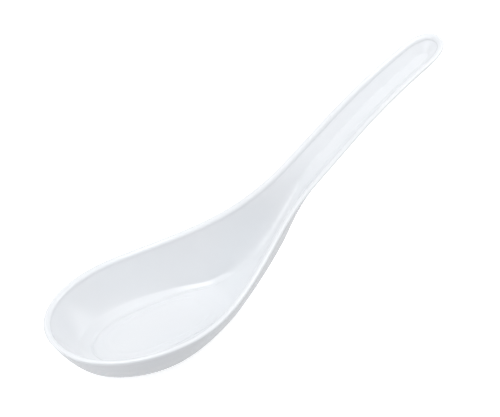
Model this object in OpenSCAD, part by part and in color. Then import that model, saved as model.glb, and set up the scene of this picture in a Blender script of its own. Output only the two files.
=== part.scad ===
// A soup spoon moulded in one shell: an oval bowl with a flat floor and steep
// walls, running back into a channel handle that rises in an S curve.
// The form is laid out flat, by distance along the rim, distance from the
// middle and depth below the rim, and is then bent along the rim's side curve.
// +X runs from the bowl's tip to the handle's end and +Z is up. The foot lies
// on z = 0 and its centre is the origin.

/* [Plan] */
// Length along the rim's side curve, from the tip to the handle's end
rim_len = 148; // [142:0.5:160]
// Width across the bowl's rim
bowl_w = 44; // [38:0.5:50]
// Distance from the tip to the widest place of the bowl
front_len = 31; // [27:0.5:36]
// Power of the front's round outline: 1 is an ellipse and less is fuller
front_round_share = 0.95; // [0.85:0.01:1]
// Length over which the bowl narrows into the handle
taper_len = 58.5; // [50:0.5:66]
// Width of the handle's straight sides, carried forward to the bowl
neck_w = 16.6; // [14:0.2:20]
// Width of the handle at its end
end_w = 12.2; // [10:0.2:16]
// Length of the handle's rounded end
cap_len = 9; // [7:0.5:12]
// Power of the handle end's round outline
cap_round_share = 0.91; // [0.85:0.01:1]

/* [Side curve] */
// Height of the rim above the foot at the tip
tip_h = 13.2; // [11:0.2:16]
// Slope of the rim at the tip, in degrees
tip_angle = 1; // [0:0.5:3]
// Length of the level stretch of the rim behind the tip
level_len = 34; // [30:0.5:38]
// Radius of the bend up from the bowl to the handle
bend_r = 69; // [60:1:80]
// Slope of the handle's straight stretch, in degrees
rise_angle = 34; // [28:1:38]
// Length of the handle's straight stretch
straight_len = 34; // [28:1:40]
// Radius of the gentle bend over towards the handle's end
crown_r = 145; // [120:5:200]

/* [Hollow] */
// Depth of the channel in the handle
channel_depth = 3; // [2.6:0.1:3.4]
// Depth of the hollow under the rim where the floor leaves the flat
throat_depth = 15.4; // [14.5:0.1:17]
// Distance from the widest place to where the floor starts to rise
flat_len = 18.5; // [17:0.5:20]
// Length over which the floor rises into the channel
ramp_len = 52; // [49:1:57]
// Distance ahead of the rise at which the floor starts to narrow
narrow_lead = 5; // [4:0.5:6]
// Length over which the floor closes to a trough
trough_len = 22; // [20:1:24]
// Width of the hollow's floor as a share of the bowl's
bowl_floor_share = 0.54; // [0.5:0.01:0.56]
// The same where the bowl has become a trough
trough_floor_share = 0.28; // [0.22:0.01:0.3]
// The same in the channel
channel_floor_share = 0.38; // [0.33:0.01:0.42]
// Height of the sloping band between the bowl's floor and wall
band_h = 1; // [0.7:0.1:1.3]
// Width of the sloping band
band_w = 2.5; // [2:0.1:2.8]
// Outward swell of the bowl's wall as a share of its depth
swell_share = 0.45; // [0.3:0.05:0.6]

/* [Walls] */
// Width of the rim around the bowl
bowl_rim_w = 2; // [1.6:0.1:2.6]
// Width of the rim along the handle
handle_rim_w = 2.1; // [1.8:0.1:2.6]
// Drop from the rim's crest to its inner edge
lip_drop = 1.1; // [0.9:0.1:1.3]
// Drop from the rim's crest to its outer edge
edge_drop = 0.6; // [0.5:0.1:0.8]
// Thickness of the bowl's floor
floor_t = 2.6; // [2.2:0.1:3]
// Thickness under the channel
channel_t = 1.4; // [1.3:0.1:2]
// Extra thickness under the throat
heel_extra = 1.1; // [0.8:0.1:1.6]
// Distance that the outside's rise starts behind the inside's
heel_shift = 8; // [7:0.1:9]

/* [Foot] */
// Width of the foot at the tip as a share of the bowl's
front_foot_share = 0.54; // [0.5:0.01:0.57]
// The same behind the bowl's widest place
bowl_foot_share = 0.61; // [0.57:0.01:0.64]
// Width of the underside below the trough as a share
trough_foot_share = 0.16; // [0.14:0.01:0.22]
// Width of the underside below the channel as a share
channel_foot_share = 0.55; // [0.45:0.01:0.6]
// Depth by which the foot's flat cuts the rounded underside
foot_cut = 1; // [1:0.1:1.4]
// Height over which the foot's edge rounds
foot_round = 0.5; // [0.4:0.1:0.9]
// Reach of the round where the hollow's floor starts to rise
ramp_round = 1; // [0.8:0.1:2]
// Reach of the round at the foot's rear edge
heel_round = 1.2; // [0.8:0.1:2.5]

/* [Hidden] */

// Distance from the tip to the foot's centre
foot_from_tip = 33.5;
// Share of the taper's length at which the wall of the hollow has lost its swell
trough_share = 0.63;
// The same for the outside, which is then narrowest at the foot
trough_out_share = 0.72;
// Shares of the taper's length at which the channel begins and is full
channel_from_share = 0.8;
channel_full_share = 1.25;
// Share of the sloping band's width that lies on the floor
band_in_share = 0.55;
// Softness of the corner between wall and floor, which is crisp in the bowl
crease_share = 0.04;
front_crease_share = 0.12;
bowl_soft_share = 0.12;
trough_soft_share = 0.9;
channel_crease_share = 0.08;
channel_soft_share = 0.5;
// Place of the rim's crest as a share of its width
crest_share = 0.72;
// Middle of the fan of sections around the tip and around the end
front_fan_share = 0.78;
cap_fan_share = 0.14;

// Sections along the front, the body and the handle's end
front_steps = 14;
body_steps = 44;
cap_steps = 8;
// Points across the hollow, over the rim and across the outside
floor_steps = 4;
band_steps = 2;
wall_steps = 6;
lip_steps = 4;
outside_steps = 10;

section_count = front_steps + body_steps + cap_steps;
hollow_steps = floor_steps + band_steps + wall_steps;
ring_count = hollow_steps + lip_steps + outside_steps;
cap_start = rim_len - cap_len;
throat_start = front_len + flat_len;
throat_end = throat_start + ramp_len;
narrow_start = throat_start - narrow_lead;

// Places where the side curve turns from one stretch to the next
bend_end = level_len + bend_r * (rise_angle - tip_angle) * PI / 180;
crown_start = bend_end + straight_len;
bend_from = [level_len * cos(tip_angle) - foot_from_tip,
             level_len * sin(tip_angle) + tip_h];
bend_to = bend_from + bend_r * [sin(rise_angle) - sin(tip_angle),
                                cos(tip_angle) - cos(rise_angle)];
crown_from = bend_to + straight_len * [cos(rise_angle), sin(rise_angle)];

// Slope of the rim at distance s from the tip
function slope(s) =
    s < level_len ? tip_angle
    : s < bend_end ? tip_angle + (s - level_len) / bend_r * 180 / PI
    : s < crown_start ? rise_angle
    : rise_angle - (s - crown_start) / crown_r * 180 / PI;

// Place of the rim at distance s from the tip, as x and z
function rim_place(s) =
    let (a = slope(s))
    s < level_len
        ? bend_from - (level_len - s) * [cos(tip_angle), sin(tip_angle)]
    : s < bend_end
        ? bend_from + bend_r * [sin(a) - sin(tip_angle), cos(tip_angle) - cos(a)]
    : s < crown_start
        ? bend_to + (s - bend_end) * [cos(rise_angle), sin(rise_angle)]
    : crown_from + crown_r * [sin(rise_angle) - sin(a), cos(a) - cos(rise_angle)];

// Flat layout to space: distance s along, y from the middle, d below the rim
function bend(s, y, d) =
    let (p = rim_place(s), a = slope(s))
    [p[0] + d * sin(a), y, p[1] - d * cos(a)];

// Smooth passage from 0 at a to 1 at b
function ease(s, a, b) = (1 - cos(180 * min(max((s - a) / (b - a), 0), 1))) / 2;

// Lesser and greater of two values, with the corner rounded over reach r
function soft_min(a, b, r) = min(a, b) - pow(max(r - abs(a - b), 0), 2) / (4 * r);
function soft_max(a, b, r) = -soft_min(-a, -b, r);

// Value that passes from the bowl's to the trough's and then to the channel's
function along(s, bowl, trough, channel, to_trough) =
    bowl
    + (trough - bowl) * to_trough
    + (channel - trough) * ease(s, front_len + channel_from_share * taper_len,
                                front_len + channel_full_share * taper_len);

// Passage from the tip to the widest place, of the foot's width and the floor's crease
function past_front(s) = ease(s, 0, front_len);

// Passage from bowl to trough of the outside, the floor's width, and the crease
// and band around the floor
function past_foot(s) = ease(s, front_len, front_len + trough_out_share * taper_len);
function past_flat(s) = ease(s, narrow_start, narrow_start + trough_len);
function past_crease(s) = ease(s, narrow_start + trough_len / 2, narrow_start + trough_len);

// Half the width of the rim's outline behind the widest place
function half_w(s) =
    let (straight_w = neck_w + (end_w - neck_w) * (s - front_len) / (rim_len - front_len))
    straight_w / 2 + (bowl_w - neck_w) / 2 * (1 - ease(s, front_len, front_len + taper_len));

// Section j as [distance along, half width, distance of its middle]
function section(j) =
    j < front_steps
        ? let (a = 90 * j / front_steps)
          [front_len * (1 - pow(cos(a), front_round_share)),
           bowl_w / 2 * pow(sin(a), front_round_share),
           front_len * (front_fan_share + (1 - front_fan_share) * (1 - cos(a)))]
    : j <= front_steps + body_steps
        ? let (s = front_len + (cap_start - front_len) * (j - front_steps) / body_steps)
          [s, half_w(s), s]
    : let (a = 90 * (j - front_steps - body_steps) / cap_steps,
           s = cap_start + cap_len * pow(sin(a), cap_round_share))
      [s, half_w(s) * pow(cos(a), cap_round_share),
       cap_start + cap_len * cap_fan_share * sin(a)];

sections = [for (j = [0 : section_count]) section(j)];

// The rim's outline on one side, with one mirrored point past each end
function outline_point(j) =
    j < 0 ? [sections[1][0], -sections[1][1]]
    : j > section_count ? [sections[section_count - 1][0], -sections[section_count - 1][1]]
    : [sections[j][0], sections[j][1]];

// Inner edge of the rim at section j, square to the outline
function rim_inner(j) =
    let (run = outline_point(j + 1) - outline_point(j - 1),
         w = bowl_rim_w + (handle_rim_w - bowl_rim_w)
             * ease(sections[j][0], front_len, front_len + channel_full_share * taper_len))
    outline_point(j) + w * [run[1], -run[0]] / norm(run);

// Depth of the hollow and of the outside on the middle line
function hollow_depth(s) =
    soft_min((rim_place(s)[1] - floor_t) / cos(slope(s)),
             channel_depth + (throat_depth - channel_depth)
                 * (1 - ease(s, throat_start, throat_end)),
             ramp_round);
function outside_depth(s) =
    soft_min((rim_place(s)[1] + foot_cut) / cos(slope(s)),
             channel_depth + channel_t + (throat_depth + heel_extra - channel_depth)
                 * (1 - ease(s, throat_start + heel_shift, throat_end)),
             heel_round);

// Depth at share u of the way out from the middle, where the section has the
// given drop at its edge, full depth, floor width, corner softness and swell
function profile(u, drop, depth, floor_share, soft_share, bulge_share) =
    let (t = (1 - u) / (1 - floor_share),
         wall = depth * t * (1 + bulge_share * (1 - min(t, 1))),
         reach = soft_share * depth * floor_share / (1 - floor_share))
    drop + soft_min(wall, depth, reach) * (depth - drop) / depth;

function swell(s, full_share) =
    swell_share * (1 - ease(s, front_len, front_len + full_share * taper_len));

// Width of the hollow's floor as a share, and share u of the way out at step k,
// with the band's two edges among the steps
function floor_width(s) =
    along(s, bowl_floor_share, trough_floor_share, channel_floor_share, past_flat(s));
function band_reach(j) = band_w / norm(rim_inner(j) - [sections[j][2], 0]);
function band_from(j) = floor_width(sections[j][2]) - band_in_share * band_reach(j);
function hollow_share(j, k) =
    let (from = band_from(j), to = from + band_reach(j))
    k <= floor_steps ? from * k / floor_steps
    : k <= floor_steps + band_steps ? from + (to - from) * (k - floor_steps) / band_steps
    : to + (1 - to) * (k - floor_steps - band_steps) / wall_steps;

// Depth of the hollow at share u of section j: wall and floor, or the sloping band
// between them
function hollow_profile(j, u) =
    let (s = sections[j][2], depth = hollow_depth(s), width = floor_width(s),
         crease = crease_share
                  + (front_crease_share - crease_share) * (1 - past_front(sections[j][0])),
         rise = (u - band_from(j)) / band_reach(j),
         band = depth - (1 - past_crease(s)) * band_h * rise)
    min(max(band, lip_drop),
        profile(u, lip_drop, depth, width,
                along(s, crease, trough_soft_share, channel_crease_share, past_crease(s)),
                swell(s, trough_share)));

// Point k of section j in the hollow, over the rim and on the outside
function hollow_point(j, k) =
    let (c = sections[j][2], u = hollow_share(j, k), edge = rim_inner(j))
    bend(c + u * (edge[0] - c), u * edge[1], hollow_profile(j, u));
function lip_point(j, k) =
    let (a = 180 * k / lip_steps, inner = a < 90,
         u = crest_share - cos(a) * (inner ? crest_share : 1 - crest_share),
         p = rim_inner(j) + u * (outline_point(j) - rim_inner(j)))
    bend(p[0], p[1], (inner ? lip_drop : edge_drop) * (1 - sin(a)));
function outside_point(j, k) =
    let (c = sections[j][2], u = k / outside_steps,
         p = bend(c + u * (sections[j][0] - c), u * sections[j][1],
                  profile(u, edge_drop, outside_depth(c),
                          along(c, front_foot_share
                                   + (bowl_foot_share - front_foot_share) * past_front(sections[j][0]),
                                trough_foot_share, channel_foot_share, past_foot(c)),
                          along(c, bowl_soft_share, trough_soft_share, channel_soft_share,
                                past_foot(c)),
                          swell(c, trough_out_share))))
    [p[0], p[1], soft_max(p[2], 0, foot_round)];

// Point k of the whole ring from the hollow's middle over the rim to the
// underside's middle
function ring_point(j, k) =
    k <= hollow_steps ? hollow_point(j, k)
    : k < hollow_steps + lip_steps ? lip_point(j, k - hollow_steps)
    : outside_point(j, ring_count - k);

// Points: the hollow's middle line, the underside's, then one half section
// after another around both sides
half_count = section_count + 1;
side_count = ring_count - 1;
points = concat(
    [for (j = [0 : section_count]) ring_point(j, 0)],
    [for (j = [0 : section_count]) ring_point(j, ring_count)],
    [for (j = [0 : 2 * section_count - 1])
        let (far = j > section_count, i = far ? 2 * section_count - j : j)
        for (k = [1 : side_count])
            let (p = ring_point(i, k))
            [p[0], far ? -p[1] : p[1], p[2]]]);

function point_index(j, k) =
    let (i = j % (2 * section_count), mid = min(i, 2 * section_count - i))
    k == 0 ? mid
    : k == ring_count ? half_count + mid
    : 2 * half_count + i * side_count + k - 1;

// Each patch is split so that the two sides mirror each other, and so that the
// patches at the ends of the middle lines meet in the last point there
faces = [for (j = [0 : 2 * section_count - 1], k = [0 : ring_count - 1], half = [0, 1])
    let (a = point_index(j, k), b = point_index(j + 1, k),
         c = point_index(j + 1, k + 1), d = point_index(j, k + 1),
         near = j < section_count,
         at_front = (near ? j : 2 * section_count - 1 - j) < front_steps,
         in_hollow = k < hollow_steps)
    (at_front == in_hollow) == near
        ? (half == 0 ? [c, b, a] : [d, c, a])
        : (half == 0 ? [d, b, a] : [d, c, b])];

module spoon() {
    color([0.93, 0.94, 0.96])
        polyhedron(points = points, faces = faces, convexity = 6);
}

spoon();
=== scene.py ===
import math

import bpy
import numpy as np
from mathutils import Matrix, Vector


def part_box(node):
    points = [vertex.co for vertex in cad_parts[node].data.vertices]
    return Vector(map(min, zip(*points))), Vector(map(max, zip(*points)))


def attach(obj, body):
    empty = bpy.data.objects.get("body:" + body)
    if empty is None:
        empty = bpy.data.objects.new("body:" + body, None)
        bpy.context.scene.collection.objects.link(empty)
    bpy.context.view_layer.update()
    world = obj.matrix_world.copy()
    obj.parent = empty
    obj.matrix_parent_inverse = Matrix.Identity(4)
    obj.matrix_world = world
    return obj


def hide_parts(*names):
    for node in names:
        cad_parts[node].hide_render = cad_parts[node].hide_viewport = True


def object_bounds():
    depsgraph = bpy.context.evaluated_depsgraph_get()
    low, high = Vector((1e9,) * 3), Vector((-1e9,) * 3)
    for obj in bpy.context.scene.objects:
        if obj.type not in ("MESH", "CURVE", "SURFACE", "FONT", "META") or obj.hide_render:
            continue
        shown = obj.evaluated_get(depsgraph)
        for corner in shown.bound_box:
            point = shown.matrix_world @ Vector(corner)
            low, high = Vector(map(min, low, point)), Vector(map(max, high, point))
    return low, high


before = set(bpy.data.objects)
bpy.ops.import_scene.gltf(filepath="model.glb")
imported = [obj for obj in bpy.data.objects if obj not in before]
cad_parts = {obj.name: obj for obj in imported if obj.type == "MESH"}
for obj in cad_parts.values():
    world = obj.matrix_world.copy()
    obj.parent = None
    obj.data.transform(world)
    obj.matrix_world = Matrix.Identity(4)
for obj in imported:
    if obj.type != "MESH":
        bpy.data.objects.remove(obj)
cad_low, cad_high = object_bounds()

# The spoon, a single shell pressed in a mould: an oval bowl with a flat floor, and
# a shallow channel for a handle. It is laid out flat, by distance along the rim,
# from the middle and below the rim, and is then bent along the rim's side curve.
mm = 0.001
rim_len = 148 * mm
front_len = 31 * mm
taper_len = 58.5 * mm
bowl_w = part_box("spoon")[1].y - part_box("spoon")[0].y
neck_w = 16.6 * mm
end_w = 12.2 * mm
cap_len = 9 * mm
front_round_share = 0.95
cap_round_share = 0.91

foot_from_tip = 33.5 * mm
tip_h = 13.2 * mm
tip_angle = math.radians(1)
level_len = 34 * mm
bend_r = 69 * mm
rise_angle = math.radians(34)
straight_len = 34 * mm
crown_r = 145 * mm

bend_end = level_len + bend_r * (rise_angle - tip_angle)
crown_start = bend_end + straight_len
cap_start = rim_len - cap_len


def slope(s):
    """Slope of the rim at distance s from the tip."""
    bent = tip_angle + (np.clip(s, level_len, bend_end) - level_len) / bend_r
    return bent - np.maximum(s - crown_start, 0) / crown_r


def rim_place(s):
    """Place of the rim at distance s from the tip, as x and z."""
    level = np.minimum(s, level_len)
    straight = np.clip(s, bend_end, crown_start) - bend_end
    a = np.clip(slope(s), tip_angle, rise_angle)
    bent = np.where(s < crown_start, a, rise_angle)
    over = np.where(s < crown_start, rise_angle, a)
    x = (level * math.cos(tip_angle) - foot_from_tip
         + bend_r * (np.sin(bent) - math.sin(tip_angle))
         + straight * math.cos(rise_angle)
         + crown_r * (math.sin(rise_angle) - np.sin(over)))
    z = (tip_h + level * math.sin(tip_angle)
         + bend_r * (math.cos(tip_angle) - np.cos(bent))
         + straight * math.sin(rise_angle)
         + crown_r * (np.cos(over) - math.cos(rise_angle)))
    return x, z


def bend(s, y, d):
    """Point of the flat layout in space: s along, y from the middle, d below the rim."""
    x, z = rim_place(s)
    a = slope(s)
    return np.stack([x + d * np.sin(a), y, z - d * np.cos(a)], axis=-1)


def ease(s, a, b):
    """Smooth passage from 0 at a to 1 at b."""
    return (1 - np.cos(math.pi * np.clip((s - a) / (b - a), 0, 1))) / 2


def soft_min(a, b, reach):
    """Lesser of two values, with the corner between them rounded over a reach."""
    return np.minimum(a, b) - np.maximum(reach - np.abs(a - b), 0) ** 2 / (4 * reach)


# The plan: a blunt oval bowl that narrows smoothly into nearly straight sides and
# a rounded end. Each half section runs from a point on the middle line to the rim,
# fanned out around the tip and around the handle's end.
front_steps = 40
body_steps = 150
cap_steps = 24
front_fan_share = 0.78
cap_fan_share = 0.14


def half_w(s):
    """Half the rim's width behind the widest place."""
    straight_w = neck_w + (end_w - neck_w) * (s - front_len) / (rim_len - front_len)
    narrowing = 1 - ease(s, front_len, front_len + taper_len)
    return straight_w / 2 + (bowl_w - neck_w) / 2 * narrowing


turn = np.linspace(0, math.pi / 2, front_steps + 1)[:-1]
front_s = front_len * (1 - np.cos(turn) ** front_round_share)
front_w = bowl_w / 2 * np.sin(turn) ** front_round_share
front_c = front_len * (front_fan_share + (1 - front_fan_share) * (1 - np.cos(turn)))

body_s = np.linspace(front_len, cap_start, body_steps + 1)

turn = np.linspace(0, math.pi / 2, cap_steps + 1)[1:]
cap_s = cap_start + cap_len * np.sin(turn) ** cap_round_share
cap_w = half_w(cap_s) * np.maximum(np.cos(turn), 0) ** cap_round_share
cap_w[-1] = 0
cap_c = cap_start + cap_len * cap_fan_share * np.sin(turn)

edge_s = np.concatenate([front_s, body_s, cap_s])
edge_w = np.concatenate([front_w, half_w(body_s), cap_w])
mid_s = np.concatenate([front_c, body_s, cap_c])

# The rim: a band 2 mm wide, with its crest near the outer edge and a rounded fall
# to the inside, as it leaves a polished mould.
bowl_rim_w = 2 * mm
handle_rim_w = 2.1 * mm
lip_drop = 1.1 * mm
edge_drop = 0.6 * mm
crest_share = 0.72
channel_from_share = 0.8
channel_full_share = 1.25

channel_full = front_len + channel_full_share * taper_len
rim_w = bowl_rim_w + (handle_rim_w - bowl_rim_w) * ease(edge_s, front_len, channel_full)
run_s = np.gradient(edge_s)
run_w = np.gradient(edge_w)
run_s[[0, -1]] = 0
run_w[[0, -1]] = 1, -1
run = np.hypot(run_s, run_w)
inner_s = edge_s + rim_w * run_w / run
inner_w = edge_w - rim_w * run_s / run
inner_w[[0, -1]] = 0

# The walls: steep and swelling around the bowl, closing to a rounded trough at the
# throat and opening again to a shallow channel. The outside is a separate form, so
# that the floor is 2.6 mm thick and the walls 1.2 to 2.6 mm.
channel_depth = 3 * mm
throat_depth = 15.4 * mm
flat_len = 18.5 * mm
ramp_len = 52 * mm
floor_t = 2.6 * mm
channel_t = 1.4 * mm
heel_extra = 1.1 * mm
heel_shift = 8 * mm
foot_cut = 1 * mm
foot_round = 0.5 * mm
ramp_round = 1 * mm
heel_round = 1.2 * mm
swell_share = 0.45
bowl_floor_share, trough_floor_share, channel_floor_share = 0.54, 0.28, 0.38
front_foot_share, bowl_foot_share = 0.54, 0.61
trough_foot_share, channel_foot_share = 0.16, 0.55
bowl_soft_share, trough_soft_share, channel_soft_share = 0.12, 0.9, 0.5
front_crease_share, crease_share, channel_crease_share = 0.12, 0.04, 0.08
narrow_lead = 5 * mm
trough_len = 22 * mm
trough_share = 0.63
trough_out_share = 0.72
band_h = 1 * mm
band_w = 2.5 * mm
band_in_share = 0.55

throat_start = front_len + flat_len
throat_end = throat_start + ramp_len
narrow_start = throat_start - narrow_lead


def along(bowl, trough, channel, to_trough):
    """Value at each section that passes from the bowl's to the trough's and the channel's."""
    return bowl + (trough - bowl) * to_trough + (channel - trough) * past_trough


def profile(u, drop, depth, floor_share, soft_share, bulge_share):
    """Depth at share u of the way from the middle to the edge."""
    t = (1 - u) / (1 - floor_share)
    wall = depth * t * (1 + bulge_share * (1 - np.minimum(t, 1)))
    reach = soft_share * depth * floor_share / (1 - floor_share)
    return drop + soft_min(wall, depth, reach) * (depth - drop) / depth


rim_z = rim_place(mid_s)[1]
level = np.cos(slope(mid_s))
ramp = 1 - ease(mid_s, throat_start, throat_end)
heel = 1 - ease(mid_s, throat_start + heel_shift, throat_end)
hollow_depth = soft_min((rim_z - floor_t) / level,
                        channel_depth + (throat_depth - channel_depth) * ramp, ramp_round)
outside_depth = soft_min((rim_z + foot_cut) / level,
                         channel_depth + channel_t
                         + (throat_depth + heel_extra - channel_depth) * heel, heel_round)
past_foot = ease(mid_s, front_len, front_len + trough_out_share * taper_len)
past_flat = ease(mid_s, narrow_start, narrow_start + trough_len)
past_trough = ease(mid_s, front_len + channel_from_share * taper_len, channel_full)
past_crease = ease(mid_s, narrow_start + trough_len / 2, narrow_start + trough_len)
past_front = ease(edge_s, 0, front_len)
bowl_crease = front_crease_share + (crease_share - front_crease_share) * past_front
hollow_softness = along(bowl_crease, trough_soft_share, channel_crease_share, past_crease)
softness = along(bowl_soft_share, trough_soft_share, channel_soft_share, past_foot)
hollow_floor = along(bowl_floor_share, trough_floor_share, channel_floor_share, past_flat)
bowl_foot = front_foot_share + (bowl_foot_share - front_foot_share) * past_front
foot_width = along(bowl_foot, trough_foot_share, channel_foot_share, past_foot)
past_swell = ease(mid_s, front_len, front_len + trough_share * taper_len)
hollow_swell = swell_share * (1 - past_swell)
foot_swell = swell_share * (1 - past_foot)

# The foot of the bowl's wall: a sloping band a millimetre high joins the wall to
# the floor. A fine groove runs along its foot, and a fine raised oval line around
# the middle of the floor, as the mould's insert leaves them.
groove_depth = 0.2 * mm
groove_w = 0.35 * mm
line_height = 0.16 * mm
line_w = 0.4 * mm
line_middle = 1.8 * mm
line_half_len = 16.5 * mm
line_half_w = 7.3 * mm
line_power = 2.6

band_reach = band_w / np.hypot(mid_s - inner_s, inner_w)
band_from = hollow_floor - band_in_share * band_reach


def hollow_profile(u):
    """Depth of the hollow at share u of the way from the middle to the rim."""
    depth = profile(u, lip_drop, hollow_depth, hollow_floor, hollow_softness, hollow_swell)
    rise = (u - band_from) / band_reach
    band = hollow_depth - (1 - past_crease) * band_h * rise
    return np.minimum(depth, np.maximum(band, lip_drop))


def floor_relief(u, point):
    """Lowering of the floor at share u of the way out, and at a point in space."""
    at_bowl = 1 - ease(mid_s, throat_start, throat_start + trough_len / 2)
    from_groove = (u - band_from) * band_w / band_reach
    groove = np.exp(-(from_groove / groove_w) ** 2)
    oval = (np.abs((point[:, 0] - line_middle) / line_half_len) ** line_power
            + np.abs(point[:, 1] / line_half_w) ** line_power) ** (1 / line_power)
    ridge = np.exp(-((oval - 1) * line_half_w / line_w) ** 2)
    return at_bowl * (groove_depth * groove - line_height * ridge)


# The skin: rings of points from the hollow's middle over the rim to the underside's
# middle, on both sides. Some rings follow the band's edges and, behind it, gather
# at the crease of the handle's channel.
floor_steps = 40
band_steps = 12
wall_steps = 30
lip_steps = 12
outside_steps = 36
gather_share = 0.08

band_to = band_from + band_reach
ring_from = band_from + (channel_floor_share - gather_share - band_from) * past_crease
ring_to = band_to + (channel_floor_share + gather_share - band_to) * past_crease
hollow_shares = np.concatenate([
    np.linspace(np.zeros_like(mid_s), ring_from, floor_steps, endpoint=False),
    np.linspace(ring_from, ring_to, band_steps, endpoint=False),
    np.linspace(ring_to, np.ones_like(mid_s), wall_steps + 1)])

rings = []
for u in hollow_shares:
    points = bend(mid_s + u * (inner_s - mid_s), u * inner_w, hollow_profile(u))
    points[:, 2] -= floor_relief(u, points)
    rings.append(points)
for turn in np.linspace(0, math.pi, lip_steps + 1)[1:-1]:
    inner = turn < math.pi / 2
    u = crest_share - math.cos(turn) * (crest_share if inner else 1 - crest_share)
    depth = np.full_like(edge_s, (lip_drop if inner else edge_drop) * (1 - math.sin(turn)))
    rings.append(bend(inner_s + u * (edge_s - inner_s),
                      inner_w + u * (edge_w - inner_w), depth))
for u in np.linspace(1, 0, outside_steps + 1):
    depth = profile(u, edge_drop, outside_depth, foot_width, softness, foot_swell)
    points = bend(mid_s + u * (edge_s - mid_s), u * edge_w, depth)
    points[:, 2] = -soft_min(-points[:, 2], 0, foot_round)
    rings.append(points)

one_side = np.array(rings)
other_side = one_side[:, -2:0:-1] * [1, -1, 1]
skin = np.concatenate([one_side, other_side], axis=1)
ring_count, around = skin.shape[:2]
half_count = len(mid_s)
inner_rings = skin[1:-1].reshape(-1, 3)
points = np.concatenate([one_side[0], one_side[-1], inner_rings])

mirrored = np.minimum(np.arange(around), around - np.arange(around))
index = np.empty((ring_count, around), int)
index[0] = mirrored
index[-1] = half_count + mirrored
index[1:-1] = 2 * half_count + np.arange(inner_rings.shape[0]).reshape(-1, around)
after = np.roll(index, -1, axis=1)
faces = np.stack([index[:-1], after[:-1], after[1:], index[1:]], axis=-1).reshape(-1, 4)

mesh = bpy.data.meshes.new("moulded_spoon")
mesh.from_pydata(points.tolist(), [], faces.tolist())
mesh.validate()
mesh.shade_smooth()
spoon = bpy.data.objects.new("moulded_spoon", mesh)
bpy.context.collection.objects.link(spoon)


def linear(hex_colour):
    """Linear colour from an sRGB hex value."""
    parts = [int(hex_colour[i:i + 2], 16) / 255 for i in (1, 3, 5)]
    return [c / 12.92 if c <= 0.04045 else ((c + 0.055) / 1.055) ** 2.4 for c in parts] + [1]


def add_node(material, kind, settings=None, **inputs):
    """Adds a node with its settings, and sets or links each named input."""
    node = material.node_tree.nodes.new(kind)
    for name, value in (settings or {}).items():
        setattr(node, name, value)
    for name, value in inputs.items():
        by_number = name[1:].isdigit()
        socket = node.inputs[int(name[1:]) if by_number else name.replace("_", " ")]
        if isinstance(value, bpy.types.NodeSocket):
            material.node_tree.links.new(value, socket)
        else:
            socket.default_value = value
    return node


# Melamine resin, pressed in a polished steel mould: a cool, dense white with a hard,
# faintly wavy gloss and a glow through thin edges. Hair-fine rubbing marks from use,
# drawn coarse enough to show, dull it a little.
melamine = bpy.data.materials.new("pressed_melamine")
melamine.use_nodes = True
melamine.node_tree.nodes.clear()

white = "#E0E1E3"
cool_white = "#DBDEE1"
cloud_size = 18 * mm
wave_size = 5 * mm
wave_height = 0.012 * mm
rub_size = 0.9 * mm
rub_from, rub_to = 0.35, 0.65
gloss_roughness = 0.16
rubbed_roughness = 0.26
glow_through = 0.5
glow_reach = 2 * mm

surface = add_node(melamine, "ShaderNodeTexCoord")
cloud = add_node(melamine, "ShaderNodeTexNoise", Vector=surface.outputs["Object"],
                 Scale=1 / cloud_size, Detail=2.0, Roughness=0.4)
tint = add_node(melamine, "ShaderNodeMix", {"data_type": "RGBA"},
                i0=cloud.outputs["Fac"], i6=linear(white), i7=linear(cool_white))
wave = add_node(melamine, "ShaderNodeTexNoise", Vector=surface.outputs["Object"],
                Scale=1 / wave_size, Detail=1.0)
ripple = add_node(melamine, "ShaderNodeBump", Height=wave.outputs["Fac"],
                  Strength=1.0, Distance=wave_height)
rub = add_node(melamine, "ShaderNodeTexNoise", Vector=surface.outputs["Object"],
               Scale=1 / rub_size, Detail=4.0, Roughness=0.6)
dullness = add_node(melamine, "ShaderNodeMapRange", Value=rub.outputs["Fac"],
                    From_Min=rub_from, From_Max=rub_to,
                    To_Min=gloss_roughness, To_Max=rubbed_roughness)
shader = add_node(melamine, "ShaderNodeBsdfPrincipled", Base_Color=tint.outputs[2],
                  Roughness=dullness.outputs["Result"], Normal=ripple.outputs["Normal"],
                  IOR=1.6, Subsurface_Weight=glow_through, Subsurface_Scale=glow_reach,
                  Subsurface_Radius=(1.0, 1.0, 1.0))
add_node(melamine, "ShaderNodeOutputMaterial", Surface=shader.outputs["BSDF"])
mesh.materials.append(melamine)

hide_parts("spoon")
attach(spoon, "root")

# The table that the spoon stands on: a sheet of matt white acrylic, large enough
# to fill the view from every side, and lit a little from below so that it stays
# white under the spoon.
table_half = 12.0
table_glow = 0.4
table_mesh = bpy.data.meshes.new("acrylic_table")
table_mesh.from_pydata([(-table_half, -table_half, 0), (table_half, -table_half, 0),
                        (table_half, table_half, 0), (-table_half, table_half, 0)],
                       [], [(0, 1, 2, 3)])
table = bpy.data.objects.new("acrylic_table", table_mesh)
bpy.context.collection.objects.link(table)
acrylic = bpy.data.materials.new("matt_white_acrylic")
acrylic.use_nodes = True
acrylic.node_tree.nodes.clear()
acrylic_shader = add_node(acrylic, "ShaderNodeBsdfPrincipled", Base_Color=linear("#FAFAFA"),
                          Roughness=0.9, IOR=1.49, Emission_Color=linear("#FFFFFF"),
                          Emission_Strength=table_glow)
add_node(acrylic, "ShaderNodeOutputMaterial", Surface=acrylic_shader.outputs["BSDF"])
table_mesh.materials.append(acrylic)
table.visible_diffuse = False
table.visible_glossy = False
table.visible_shadow = False

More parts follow.
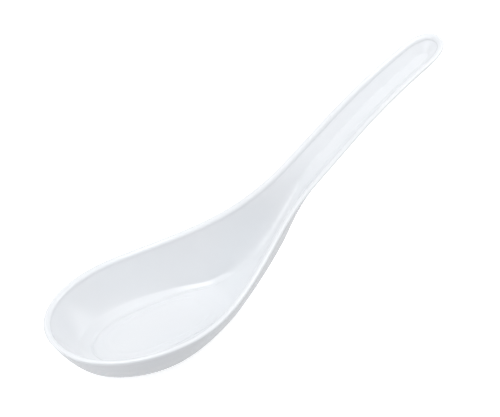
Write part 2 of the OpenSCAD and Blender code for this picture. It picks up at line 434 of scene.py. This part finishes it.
# The light: an even white photographic tent, and five soft panels, the strongest
# straight above. The rim, the floor and its sloping band shine in them, while the
# steep far wall stays a shade darker.
tent_above = 0.65
tent_below = 0.75
horizon = 0.02
panel_width = 0.5
panels = {"panel_above": (3.0, Vector((0.035, -0.016, 0.93))),
          "panel_over_tip": (0.9, Vector((-0.4, 0, 0.8))),
          "panel_over_handle": (0.7, Vector((0.4, -0.2, 0.78))),
          "panel_past_handle": (1.2, Vector((0.75, -0.15, 0.42))),
          "panel_past_tip": (1.5, Vector((-0.75, -0.05, 0.3)))}
spoon_middle = (cad_low + cad_high) / 2

tent = bpy.data.worlds.new("white_tent")
tent.use_nodes = True
tent.node_tree.nodes.clear()
direction = add_node(tent, "ShaderNodeTexCoord")
height = add_node(tent, "ShaderNodeSeparateXYZ", Vector=direction.outputs["Generated"])
brightness = add_node(tent, "ShaderNodeMapRange", Value=height.outputs["Z"],
                      From_Min=-horizon, From_Max=horizon,
                      To_Min=tent_below, To_Max=tent_above)
background = add_node(tent, "ShaderNodeBackground", Color=linear("#FCFDFF"),
                      Strength=brightness.outputs["Result"])
add_node(tent, "ShaderNodeOutputWorld", Surface=background.outputs["Background"])
bpy.context.scene.world = tent

for name, (power, place) in panels.items():
    panel_data = bpy.data.lights.new(name, "AREA")
    panel_data.shape = "SQUARE"
    panel_data.size = panel_width
    panel_data.energy = power
    panel = bpy.data.objects.new(name, panel_data)
    panel.location = place
    panel.rotation_euler = (spoon_middle - place).to_track_quat("-Z", "Y").to_euler()
    bpy.context.collection.objects.link(panel)
bpy.context.scene.view_settings.view_transform = "Standard"

# The camera: a long lens from the bowl's side, turned towards the handle, at the
# angle of the photograph. The aim is set so that the spoon lies where it does there.
image_width, image_height = 500, 417
view_turn = math.radians(-36)
view_rise = math.radians(39)
view_distance = 800 * mm
pixels_per_metre = 3484
target = Vector((30, 0, 20)) * mm
target_px = (238.3, 241.4)

right = Vector((math.cos(view_turn), math.sin(view_turn), 0))
ahead = Vector((-math.sin(view_turn) * math.cos(view_rise),
                math.cos(view_turn) * math.cos(view_rise), -math.sin(view_rise)))
up = right.cross(ahead)
aim = (target + right * (image_width / 2 - target_px[0]) / pixels_per_metre
       - up * (image_height / 2 - target_px[1]) / pixels_per_metre)

camera_data = bpy.data.cameras.new("camera")
camera_data.lens = camera_data.sensor_width * pixels_per_metre * view_distance / image_width
camera_data.clip_start = 0.01
camera_data.clip_end = 50
camera = bpy.data.objects.new("camera", camera_data)
camera.location = target - ahead * view_distance
camera.rotation_euler = (aim - camera.location).to_track_quat("-Z", "Y").to_euler()
bpy.context.collection.objects.link(camera)
bpy.context.scene.camera = camera
